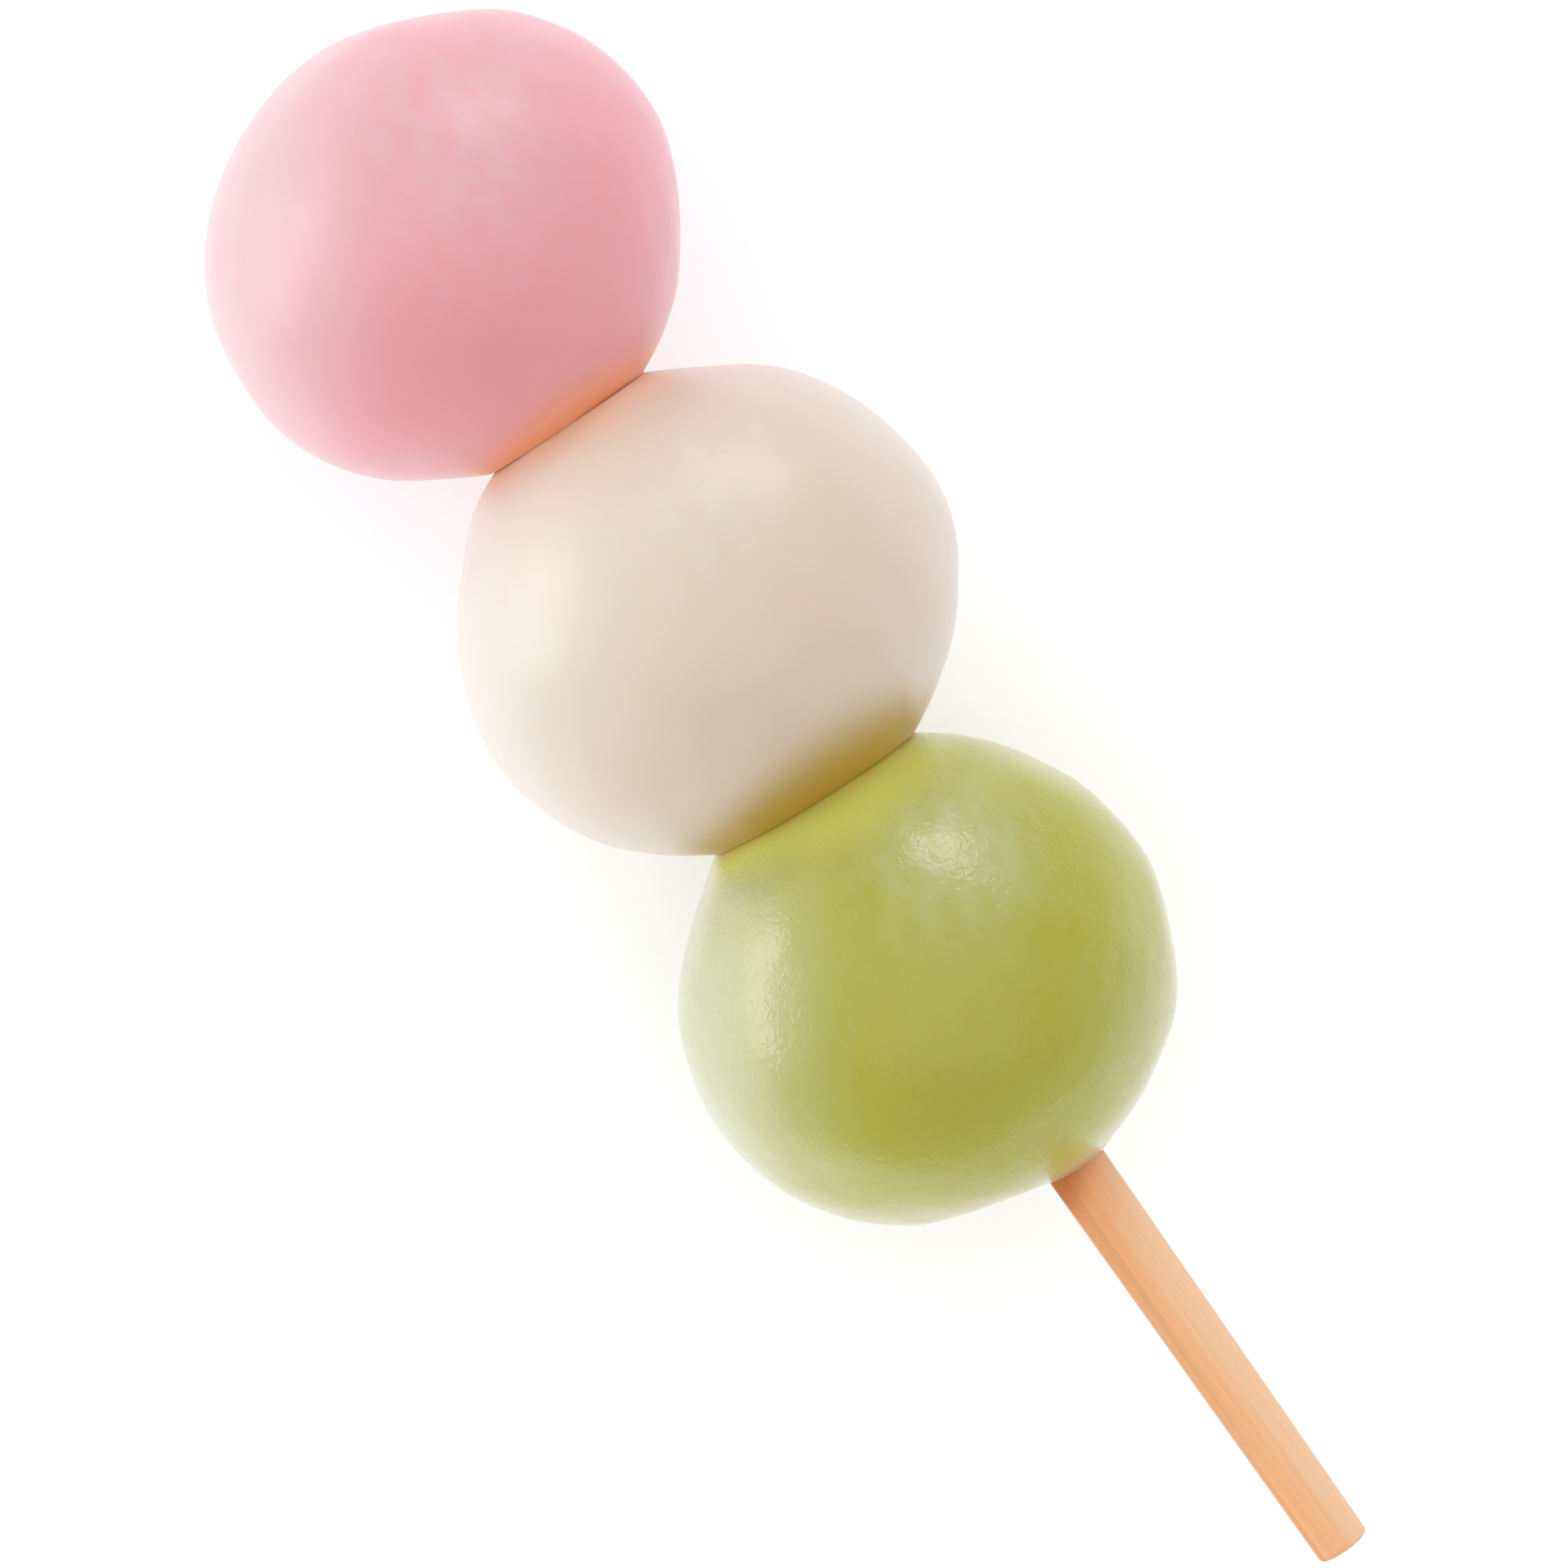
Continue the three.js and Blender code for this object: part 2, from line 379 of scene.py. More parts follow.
def rays_across(name, contact):
    """A ball's rays around a contact's rim, the contact's plane, and 1 if it lies towards +X or else -1."""
    point, normal = contact_plane(contact)
    side = np.sign((point - starts[name]) @ normal)
    return rays(CUT_ANGLES if side > 0 else math.pi - CUT_ANGLES), point, normal, side


def cut_radius(name, contact):
    """How far out from the skewer's axis a lone ball's skin crosses the contact's plane, all around."""
    directions, point, normal, side = rays_across(name, contact)
    points = starts[name] + directions * lone_skin_distance(name, directions)[..., None]
    inside = (point - points) @ normal * side
    off_axis = np.hypot(points[..., 1], points[..., 2] - AXIS_Z)
    return np.array([np.interp(0, inside[:, i], off_axis[:, i]) for i in range(AROUND)])


cuts = {
    contact: {name: cut_radius(name, contact) for name in BALLS if contact in NEIGHBOURS[name]}
    for contact in CONTACTS
}
for contact, both in cuts.items():
    first, second = both.values()
    print(contact, "steps by", np.abs(first - second).max().round(2), "mm at most before it is smoothed")

# %% Draw two skins together at their contact
DRAWN_OVER = 2.0  # how far from the contact a skin is drawn towards its neighbour's
BRIDGE = 1.5  # sticky dough pulled up out of the crease, most on top and underneath
BRIDGE_REACH = 0.8  # how far from the contact that dough thins out
BRIDGE_AT_SIDES = 0.3  # how much of it there is at the sides


def drawn_out(name, contact, directions, distance):
    """How much further each ray runs so that the skin meets its neighbour's."""
    point, normal = contact_plane(contact)
    from_plane = (starts[name] + directions * distance[..., None] - point) @ normal
    place_around = np.arctan2(directions[..., 2], directions[..., 1])
    growth = np.mean(list(cuts[contact].values()), axis=0) - cuts[contact][name]
    outward = np.hypot(directions[..., 1], directions[..., 2])
    nearness = np.exp(-((from_plane / DRAWN_OVER) ** 2))
    drawn = np.interp(place_around, around, growth, period=2 * math.pi) * nearness
    upright = BRIDGE_AT_SIDES + (1 - BRIDGE_AT_SIDES) * np.abs(np.sin(place_around))
    bridge = BRIDGE * np.exp(-np.abs(from_plane) / BRIDGE_REACH) * upright
    return (drawn + bridge) * outward


# %% Find the skin of a ball among its neighbours
RIM_SOFTNESS = 0.005  # rounding at the edge of a contact, where sticky dough leaves no groove
FOOT_SOFTNESS = 0.35  # rounding at the edge of the foot
HOLE_GAP = 0.01  # dough clings to bamboo
HOLE_STEPS, HOLE_GUESS = 30, 0.12  # steps that settle a hole's edge, and the polar angle they start from


def skin_distance(name, directions):
    """How far the rays from a ball's start on the skewer's axis run inside the dough."""
    start = starts[name]
    distance = lone_skin_distance(name, directions)
    for contact in filter(None, NEIGHBOURS[name]):
        distance = distance + drawn_out(name, contact, directions, distance)
        distance = soft_min(distance, contact_distance(contact, start, directions), RIM_SOFTNESS)
    downward = directions[..., 2] < -LEAST_CROSSING
    to_table = np.where(downward, -start[2] / np.where(downward, directions[..., 2], 1), FAR_AWAY)
    return soft_min(distance, to_table, FOOT_SOFTNESS)


def hole_angle(name, side):
    """The polar angle at which the skin meets the skewer, all around. side is 0 at +X and 1 at -X."""
    polar = np.full((1, AROUND), HOLE_GUESS)
    for _ in range(HOLE_STEPS):
        turned = math.pi - polar if side else polar
        distance = skin_distance(name, rays(turned))
        polar = np.arcsin((SHAFT_RADIUS + HOLE_GAP) / distance)
    return math.pi - polar if side else polar


def rim_angle(name, contact):
    """The polar angle at which the skin meets a contact's plane, all around."""
    directions, point, normal, side = rays_across(name, contact)
    distance = lone_skin_distance(name, directions)
    distance = distance + drawn_out(name, contact, directions, distance)
    inside = (point - starts[name] - directions * distance[..., None]) @ normal * side
    rim = np.array([np.interp(0, inside[:, i], CUT_ANGLES[:, 0]) for i in range(AROUND)])
    return rim if side > 0 else math.pi - rim


# %% Space the rings from hole to rim, over the skin, and from rim to hole
SKIN_RINGS = 190
FACE_RINGS = 14
CROWDING = 2.0  # how strongly rings crowd at a rim


def crowded(count, at_start, at_end):
    """Shares from 0 to 1 that lie closer together at the chosen ends."""
    even = np.linspace(-1 if at_start else 0, 1 if at_end else 0, count)
    bent = np.tanh(CROWDING * even)
    return ((bent - bent[0]) / (bent[-1] - bent[0]))[:, None]


print("five rings that crowd at both ends:", crowded(5, True, True)[:, 0].round(2))


def polar_rings(name, polar_first, polar_last):
    """Polar angles of all rings. A ball is met first at its hole towards the held end."""
    to_point, to_end = NEIGHBOURS[name]
    stops = [polar_first[0]]
    stops += [rim_angle(name, contact) for contact in (to_end, to_point) if contact]
    stops.append(np.broadcast_to(polar_last, (1, AROUND))[0])
    rings = [stops[0][None]]
    for number, (begin, end) in enumerate(zip(stops, stops[1:])):
        is_first, is_last = number == 0, number == len(stops) - 2
        is_face = (is_first and to_end) or (is_last and to_point)
        shares = crowded(FACE_RINGS if is_face else SKIN_RINGS, not is_first, not is_last)[1:]
        rings.append(begin * (1 - shares) + end * shares)
    return np.concatenate(rings)


# %% [markdown]
# ## From rings to a mesh
#
# One function turns a stack of rings into a closed mesh. A stack either bites its own tail, as on a ball with
# a hole right through, or has a cap at each end: a fan of triangles round one middle point. It is shaded
# smooth, apart from real edges such as a contact's rim. Without them the shading would bend into the crease
# and draw a dark line there.


# %% Join rings into a closed mesh
EDGE_ANGLE = math.radians(17)  # where two faces meet at more than this, the edge is a real one


def closed_mesh(name, rings, caps=None):
    """rings is (count, around, 3) in mm from START. caps is two middle points, or None for a closed loop."""
    count, around_count, _ = rings.shape
    points = rings.reshape(-1, 3)
    number = np.arange(count * around_count).reshape(count, around_count)
    following = np.roll(number, -1, axis=1)
    lower = np.arange(count if caps is None else count - 1)
    upper = (lower + 1) % count
    corners = [number[lower], following[lower], following[upper], number[upper]]
    faces = np.stack(corners, axis=-1).reshape(-1, 4).tolist()
    if caps is not None:
        first, last = len(points), len(points) + 1
        points = np.concatenate([points, np.array(caps)])
        faces += [(first, b, a) for a, b in zip(number[0], following[0])]
        faces += [(last, a, b) for a, b in zip(number[-1], following[-1])]
    mesh = bpy.data.meshes.new(name)
    mesh.from_pydata(((points + START) * MM).tolist(), [], faces)
    mesh.update()
    mesh.shade_smooth()
    mesh.set_sharp_from_angle(angle=EDGE_ANGLE)
    piece = bpy.data.objects.new(name, mesh)
    bpy.context.scene.collection.objects.link(piece)
    print(name, "has", len(faces), "faces")
    return piece


# %% [markdown]
# ## Out through the skin, back through the hole
#
# The skin's rings start where the bamboo leaves the ball on its far side and end where it enters. Then the
# rings go back along the bamboo. The hole follows it closely, down to the point that sticks in the pink ball.

# %% Rings along the hole
TUNNEL_RINGS = 24


def pocket_radius(x):
    """Radius of the hole for the skewer at a place along it."""
    grown = np.clip((x - POINT_X) / POINT_LENGTH, 0, 1)
    return HOLE_GAP + POINT_RADIUS + (SHAFT_RADIUS - POINT_RADIUS) * grown


print("radius of the hole, from", pocket_radius(POINT_X).round(2), "to", pocket_radius(EXIT_X).round(2), "mm")


def tunnel(first_ring, last_x):
    """Rings along the skewer, from a hole's edge to last_x: one number, or one for each place around."""
    shares = np.linspace(0, 1, TUNNEL_RINGS + 2)[1:-1, None]
    x = first_ring[None, :, 0] * (1 - shares) + np.asarray(last_x) * shares
    radius = pocket_radius(x)
    return np.stack([x, radius * np.cos(around), AXIS_Z + radius * np.sin(around)], axis=-1)


# %% Make the balls
NEARLY_THE_CROWN = math.pi - 0.01


def make_ball(name):
    start = starts[name]
    goes_through = NEIGHBOURS[name][0] is not None
    polar_first = hole_angle(name, side=0)
    polar_last = hole_angle(name, side=1) if goes_through else NEARLY_THE_CROWN
    directions = rays(polar_rings(name, polar_first, polar_last))
    skin = start + directions * skin_distance(name, directions)[..., None]
    if goes_through:
        hole = tunnel(skin[-1], skin[0, :, 0])
        return closed_mesh(name, np.concatenate([skin, hole])[::-1])
    pocket_end = np.array([POINT_X - HOLE_GAP, 0, AXIS_Z])
    pocket = tunnel(skin[0], pocket_end[0])[::-1]
    crown_ray = np.array([[-1.0, 0, 0]])
    crown = start + crown_ray[0] * skin_distance(name, crown_ray)[0]
    return closed_mesh(name, np.concatenate([pocket, skin]), caps=[pocket_end, crown])


pieces = {name: make_ball(name) for name in BALLS}

# %% [markdown]
# ## Checking which way the faces point
#
# A closed mesh that faces inwards shades almost right and then goes wrong in the see-through parts. The
# signed volume tells: it is positive when the faces point out.


# %% Turn the faces out
def mesh_points(mesh):
    """The places of a mesh's points, one row for each, in metres."""
    points = np.empty(len(mesh.vertices) * 3)
    mesh.vertices.foreach_get("co", points)
    return points.reshape(-1, 3)


def signed_volume(mesh):
    mesh.calc_loop_triangles()
    corners = np.empty(len(mesh.loop_triangles) * 3, dtype=np.int32)
    mesh.loop_triangles.foreach_get("vertices", corners)
    a, b, c = np.moveaxis(mesh_points(mesh)[corners.reshape(-1, 3)], 1, 0)
    return float(np.einsum("ij,ij->", a, np.cross(b, c)) / 6)


def turn_faces_out(piece):
    volume = signed_volume(piece.data) / MM**3
    if volume < 0:
        piece.data.flip_normals()
    print(piece.name, "holds", round(abs(volume) / 1000, 2), "cubic centimetres")


for piece in pieces.values():
    turn_faces_out(piece)

# %% [markdown]
# ## How near is the next piece, and where light is painted on the skin
#
# Colour runs from one ball to the next. The cleft between two balls lies in shade and is lit mostly through
# and off its neighbour, so that shade and bounced light are painted into its colour, deeper than the open
# skin.
# The same painted shade goes round the rim where the bamboo comes out. A material can't know about
# neighbours,
# but a mesh can carry numbers of its own: each point keeps its distance from the contact on the side of the
# skewer's point, and from the one on the side of its held end.
#
# The third number is the plain distance to the nearest contact, for the dough that is packed there. The
# fourth is a share of painted light. Each ball is painted paler on the side that faces the window light, as a
# painted sheen. It runs from 0 on the far side, over a soft edge, to 1 on the window's side. Each ball also
# has a painted highlight or two near the top, mottled.


# %% Work out the distances to the contacts
TINT_SHORTER_AT_ENDS = 1.2  # how much less far the painted crease tint reaches at a crease's two open ends
TINT_LONGEST_AT = math.radians(12)  # the painted crease tint reaches furthest this far from straight up, towards +Y


def neighbour_distances(name, points):
    """Two lists of distances in mm, towards the skewer's point and towards its held end."""
    distances = []
    for contact in NEIGHBOURS[name]:
        if contact is None:
            distances.append(np.full(len(points), FAR_AWAY))
        else:
            point, normal = contact_plane(contact)
            from_longest = np.arctan2(points[:, 1], points[:, 2] - AXIS_Z) - TINT_LONGEST_AT
            shortening = 1 + TINT_SHORTER_AT_ENDS * np.sin(from_longest) ** 2
            distances.append(np.abs((points - point) @ normal) * shortening)
    if name == "green_ball":
        from_bamboo = np.hypot(points[:, 1], points[:, 2] - AXIS_Z) - SHAFT_RADIUS
        on_end_side = points[:, 0] > BALLS[name]["middle"][0]
        distances[1] = np.where(on_end_side, from_bamboo, FAR_AWAY)
    return distances


def contact_nearness(name, points):
    """The plain distance in mm to the nearest contact."""
    planes = [contact_plane(contact) for contact in filter(None, NEIGHBOURS[name])]
    return np.min([np.abs((points - point) @ normal) for point, normal in planes], axis=0)


# %% Work out where light is painted on the skin
# Each ball is painted paler on the side towards the window light: a painted sheen.
PAINTED_SHEEN_TOWARDS = {
    "pink_ball": facing(bearing=230, rise=10),
    "white_ball": facing(bearing=222, rise=12),
    "green_ball": facing(bearing=235, rise=0),
}
# Cosines of the angle to the window's side: no painted sheen below the first, full from the second on.
SHEEN_FROM, SHEEN_TO = 0.25, 0.95
# Painted highlights, mottled: where each lies, how far it spreads in cosines of the angle, and how strong.
PAINTED_HIGHLIGHTS = {
    "pink_ball": [(facing(bearing=142, rise=62), 0.18, 0.8)],
    "white_ball": [(facing(bearing=158, rise=58), 0.08, 0.8)],
    "green_ball": [(facing(bearing=143, rise=50), 0.06, 0.95), (facing(bearing=55, rise=32), 0.08, 0.4)],
}
MOTTLE_SHARE = 0.5  # how much stronger the strongest mottles are than the weakest, as a share of the painted highlight
MOTTLE_FINER = 5.0  # the mottles are this many times finer than the swells
MOTTLE_SEED = 21


def smooth_step(values, low, high):
    share = np.clip((values - low) / (high - low), 0, 1)
    return share * share * (3 - 2 * share)


def painted_light_share(name, points):
    """From 0 where no light is painted on the skin to 1 where the painted sheen and highlights are full."""
    out = points - np.array([*BALLS[name]["middle"], AXIS_Z])
    out /= np.linalg.norm(out, axis=1)[:, None]
    share = smooth_step(out @ PAINTED_SHEEN_TOWARDS[name], SHEEN_FROM, SHEEN_TO)
    for towards, spread, most in PAINTED_HIGHLIGHTS[name]:
        mottle = smooth_step(swell_depth(points * MOTTLE_FINER, MOTTLE_SEED), SWELL_LEAST, 2 * SWELL_MIDDLE)
        mottled = 1 - MOTTLE_SHARE + MOTTLE_SHARE * mottle
        highlight = most * mottled * np.exp((out @ towards - 1) / spread)
        share += highlight * (1 - share)
    return share


# %% Store all four numbers on every point
def store_numbers(piece, label, values):
    """Gives each point of a piece a number, under a label that a material can ask for."""
    piece.data.attributes.new(label, "FLOAT", "POINT").data.foreach_set("value", values)
    print(piece.name, label, "from", values.min().round(2), "to", values.max().round(2))


for name, piece in pieces.items():
    points = mesh_points(piece.data) / MM - START
    point_side, end_side = neighbour_distances(name, points)
    store_numbers(piece, "point_side", point_side)
    store_numbers(piece, "end_side", end_side)
    store_numbers(piece, "contact", contact_nearness(name, points))
    store_numbers(piece, "painted_light_share", painted_light_share(name, points))

# %% [markdown]
# ## The skewer
#
# Bamboo skewers are split from the stalk and pulled through round knives. That leaves shallow facets and,
# where a fibre bundle stood out, a fine groove, both running straight from end to end. The sawn end has a
# slightly broken edge. The outline is turned like a lathe piece, and the relief is a function of the angle
# round it.

# %% Outline of the skewer
END_EASE = 0.32
END_DOME = 0.12
HANDLE_STEP = 0.5
SHAFT_RINGS, EASE_RINGS, DOME_RINGS = 40, 7, 9


def smooth_outline():
    """(x, radius) pairs for the hidden point, the even shaft, the tapering handle and its eased edge."""
    tip = [(POINT_X, POINT_RADIUS), (POINT_X + POINT_LENGTH, SHAFT_RADIUS)]
    shaft = [(x, SHAFT_RADIUS) for x in np.linspace(POINT_X + POINT_LENGTH, EXIT_X, SHAFT_RINGS)[1:]]
    rim_x = END_X - END_DOME
    handle_x = np.arange(EXIT_X + HANDLE_STEP, rim_x - END_EASE, HANDLE_STEP)
    taper = (handle_x - EXIT_X) / (rim_x - END_EASE - EXIT_X)
    handle = list(zip(handle_x, SHAFT_RADIUS + (END_RADIUS - SHAFT_RADIUS) * taper))
    angles = np.linspace(0, math.pi / 2, EASE_RINGS)
    ease = [
        (rim_x - END_EASE * (1 - math.sin(a)), END_RADIUS - END_EASE * (1 - math.cos(a))) for a in angles
    ]
    flat_radius = END_RADIUS - END_EASE
    shares = np.linspace(1, 0, DOME_RINGS)[1:-1]
    dome = [(rim_x + END_DOME * (1 - share**2), flat_radius * share) for share in shares]
    return np.array(tip + shaft + handle + ease + dome)


outline = smooth_outline()
print("the outline has", len(outline), "rings")

# %% Turn the outline and press the relief into it
FACETS = 9
FACET_DEPTH = 0.035
GROOVES = {23: 0.010, 37: 0.007, 61: 0.004}  # how many lie round the stick, and how deep
GROOVE_SEED = 5
STICK_AROUND = 144
stick_around = np.arange(STICK_AROUND) * 2 * math.pi / STICK_AROUND
facet = FACET_DEPTH * (0.5 - 0.5 * np.cos(FACETS * stick_around))
draw = np.random.default_rng(GROOVE_SEED)
groove = np.zeros(STICK_AROUND)
for count, depth in GROOVES.items():
    groove += depth * (1 + np.sin(count * stick_around + draw.uniform(0, 2 * math.pi)))
share_of_full = np.clip(outline[:, 1] / SHAFT_RADIUS, 0, 1)[:, None]
radius = outline[:, 1][:, None] - (facet + groove) * share_of_full
along = np.broadcast_to(outline[:, 0][:, None], radius.shape)
rings = np.stack([along, radius * np.cos(stick_around), AXIS_Z + radius * np.sin(stick_around)], axis=-1)
pieces["skewer"] = closed_mesh("skewer", rings, caps=[(POINT_X, 0, AXIS_Z), (END_X, 0, AXIS_Z)])
turn_faces_out(pieces["skewer"])

# %% [markdown]
# The stick carries numbers too. One is how near each point is to the dough; the green ball's shadow is
# painted on the stick there, further along one side than along the other. The other runs from the +Y side at
# 0 to the -Y side at 1, and the -Y side is painted darker, as shade.

# %% Store where the painted shadow falls and the painted shaded side on the skewer
SHADOW_SLANT = 3.0  # the painted shadow runs this much further along one side of the stick
side_share = 0.5 + 0.5 * np.cos(stick_around)
# How far along from the ball, for the green ball's shadow painted on the stick.
shadow_distance = rings[..., 0] - EXIT_X + SHADOW_SLANT * side_share
# 0 on the +Y side and 1 on the -Y side, which is painted darker as shade.
shade_share = 0.5 - 0.5 * rings[..., 1] / SHAFT_RADIUS
for label, values in {"point_side": shadow_distance, "shaded_side": shade_share}.items():
    with_caps = np.append(values.ravel(), [values[0].mean(), values[-1].mean()])
    store_numbers(pieces["skewer"], label, with_caps)

# %% [markdown]
# ## Tools for materials
#
# Colours are picked as sRGB hex, as any paint program shows them, and turned to the linear numbers that
# Blender calculates with. Patterns are sized in millimetres: the object coordinates, in metres, are scaled up
# to millimetres once, and then a pattern's scale is one over the size of its grain.


# %% Helpers for colours and nodes
def linear(hex_colour):
    """sRGB hex to linear RGBA."""
    channels = [int(hex_colour[i : i + 2], 16) / 255 for i in (1, 3, 5)]
    return (*[c / 12.92 if c <= 0.04045 else ((c + 0.055) / 1.055) ** 2.4 for c in channels], 1.0)


def add_node(material, kind, inputs=None, **settings):
    """Adds a node, sets its properties, and fills its sockets with values or links."""
    node = material.node_tree.nodes.new(kind)
    for name, value in settings.items():
        setattr(node, name, value)
    for name, value in (inputs or {}).items():
        if isinstance(value, bpy.types.NodeSocket):
            material.node_tree.links.new(value, node.inputs[name])
        else:
            node.inputs[name].default_value = value
    return node


def new_material(name):
    """An empty material with the object's coordinates in millimetres."""
    material = bpy.data.materials.new(name)
    material.use_nodes = True
    material.node_tree.nodes.clear()
    coordinates = add_node(material, "ShaderNodeTexCoord")
    scaled = add_node(
        material,
        "ShaderNodeVectorMath",
        {0: coordinates.outputs["Object"], "Scale": 1 / MM},
        operation="SCALE",
    )
    return material, scaled.outputs["Vector"]


print("paper white is", [round(c, 3) for c in linear("#f5f5f5")])

# %% [markdown]
# ## Steamed rice dough
#
# Cooked rice flour is a gel full of swollen starch. Light goes a millimetre or two into it and comes out
# again, a little reddened, so edges and clefts glow instead of going grey. Its skin is moist: a film of water
# lies on it, smooth enough for wide soft lights to show as pale patches with soft edges. In Blender that is
# subsurface scattering for the dough and a coat for the film. Water has a refractive index of 1.33 and dry
# starch one of 1.53. The values here, 1.5 for the film and 1.55 for the dough, are matched to how pale the
# rims look. The roughness is matched to how soft the edges of the patches are.
#
# Three patterns lie on it. Blotches are where the dough is a little more or less cooked. Wrinkles come from
# the skin drying as it cools, half a millimetre apart, and pores are finer still. The film follows the
# wrinkles in full, and the dough under it less, because light that wanders through the dough blurs them.

# %% Sizes of the dough's patterns, in millimetres
BLOTCH_MM = 8.0
WRINKLE_MM = 0.5
PORE_MM = 0.22
PORE_DEPTH = 0.004
print("patterns in mm:", BLOTCH_MM, WRINKLE_MM, PORE_MM)

# %% [markdown]
# ## The body of the dough
#
# Colour first: the dough's own colour and a paler one for the painted sheen and painted highlights, mixed by
# the share of painted light and by blotches, then flecks if the dough has any, then the tints near the
# neighbours, which are painted shade and light bounced off the neighbour. Each tint is full at the contact
# and fades out over a stated distance.


# %% Mix the dough's colour
MIX_A, MIX_B, MIX_OUT = 6, 7, 2  # a Mix node has sockets for each type, and these are the colour ones
BLOTCH_STRENGTH = 0.5


def blotched_with_painted_sheen(material, millimetres, own_colour, painted_sheen_colour):
    """The dough's own colour and the paler colour of the painted sheen, mixed by the share of painted light
    and by faint blotches.
    """
    painted_share = add_node(material, "ShaderNodeAttribute", attribute_name="painted_light_share")
    blotches = add_node(
        material, "ShaderNodeTexNoise", {"Vector": millimetres, "Scale": 1 / BLOTCH_MM, "Detail": 4.0}
    )
    centred = add_node(material, "ShaderNodeMath", {0: blotches.outputs["Fac"], 1: 0.5}, operation="SUBTRACT")
    share = add_node(
        material,
        "ShaderNodeMath",
        {0: centred.outputs["Value"], 1: BLOTCH_STRENGTH, 2: painted_share.outputs["Fac"]},
        operation="MULTIPLY_ADD",
        use_clamp=True,
    )
    return add_node(
        material,
        "ShaderNodeMix",
        {"Factor": share.outputs["Value"], MIX_A: linear(own_colour), MIX_B: linear(painted_sheen_colour)},
        data_type="RGBA",
    ).outputs[MIX_OUT]


def tinted_near(material, colour, side, tint, reach, strength):
    """Lets a colour run into a tint towards the contact on one side, where shade and light from a neighbour
    are painted on. reach is in mm.
    """
    distance = add_node(material, "ShaderNodeAttribute", attribute_name=side)
    share = add_node(
        material,
        "ShaderNodeMapRange",
        {"Value": distance.outputs["Fac"], "From Max": reach, "To Min": strength, "To Max": 0.0},
        interpolation_type="SMOOTHERSTEP",
    )
    return add_node(
        material,
        "ShaderNodeMix",
        {"Factor": share.outputs["Result"], MIX_A: colour, MIX_B: linear(tint)},
        data_type="RGBA",
    ).outputs[MIX_OUT]


# %% Give the skin its fine relief
def wrinkled(material, millimetres, wrinkle_depth):
    """Wrinkles of a depth in mm, with pores on them."""
    wrinkles = add_node(
        material,
        "ShaderNodeTexNoise",
        {"Vector": millimetres, "Scale": 1 / WRINKLE_MM, "Detail": 1.5, "Distortion": 1.0},
    )
    pores = add_node(
        material, "ShaderNodeTexNoise", {"Vector": millimetres, "Scale": 1 / PORE_MM, "Detail": 1.0}
    )
    coarse = add_node(
        material, "ShaderNodeBump", {"Height": wrinkles.outputs["Fac"], "Distance": wrinkle_depth * MM}
    )
    fine = add_node(
        material,
        "ShaderNodeBump",
        {"Height": pores.outputs["Fac"], "Distance": PORE_DEPTH * MM, "Normal": coarse.outputs["Normal"]},
    )
    return fine.outputs["Normal"]


# %% Make one dough
PACKED_MM = 2.8  # dough pressed against its neighbour is packed, so light goes less deep into it there
PACKED_DEPTH = 0.01  # the share of that depth that is left right at the contact
UNDER_FILM = 0.3  # how deep the wrinkles are in the dough itself, as a share of those in its skin
DOUGH_ROUGHNESS, DOUGH_IOR = 0.45, 1.55
FILM_IOR = 1.5
BLOOM_ROUGHNESS = 0.3


def steamed_dough(name, own_colour, painted_sheen_colour, tints, scatter, wrinkle_depth, gloss, bloom, colour_with=None):
    """own_colour and painted_sheen_colour are hex colours: the dough's own, and the paler one of the painted
    sheen and painted highlights. tints are (side, hex colour, reach in mm, strength), for painted shade and
    bounce light near the neighbours. scatter is how far red, green and blue travel in the dough, in mm. gloss
    is the roughness of its moist film, and bloom is how much dry starch lies on it."""
    material, millimetres = new_material(name)
    colour = blotched_with_painted_sheen(material, millimetres, own_colour, painted_sheen_colour)
    if colour_with:
        colour = colour_with(material, millimetres, colour)
    for side, tint, tint_reach, strength in tints:
        colour = tinted_near(material, colour, side, tint, tint_reach, strength)
    film_relief = wrinkled(material, millimetres, wrinkle_depth)
    dough_relief = wrinkled(material, millimetres, wrinkle_depth * UNDER_FILM)
    contact = add_node(material, "ShaderNodeAttribute", attribute_name="contact")
    depth = add_node(
        material,
        "ShaderNodeMapRange",
        {"Value": contact.outputs["Fac"], "From Max": PACKED_MM, "To Min": PACKED_DEPTH * MM, "To Max": MM},
        interpolation_type="SMOOTHSTEP",
    )
    surface = add_node(
        material,
        "ShaderNodeBsdfPrincipled",
        {
            "Base Color": colour,
            "Roughness": DOUGH_ROUGHNESS,
            "IOR": DOUGH_IOR,
            "Subsurface Weight": 1.0,
            "Subsurface Radius": scatter,
            "Subsurface Scale": depth.outputs["Result"],
            "Normal": dough_relief,
            "Coat Weight": 1.0,
            "Coat Roughness": gloss,
            "Coat IOR": FILM_IOR,
            "Coat Normal": film_relief,
            "Sheen Weight": bloom,
            "Sheen Roughness": BLOOM_ROUGHNESS,
        },
    )
    add_node(material, "ShaderNodeOutputMaterial", {"Surface": surface.outputs["BSDF"]})
    return material


# %% [markdown]
# ## Flecks of mugwort
#
# The green dough is coloured with young mugwort leaf, boiled and ground. It leaves flecks finer than a grain
# of salt, here one in every cell of a loose random pattern.

# %% Sprinkle flecks into a colour
FLECK_APART_MM = 0.9
FLECK_MM = 0.16
FLECK_STRENGTH = 0.2
FLECK_COLOUR = "#7f7a30"
print("flecks are", FLECK_MM, "mm wide and", FLECK_APART_MM, "mm apart")


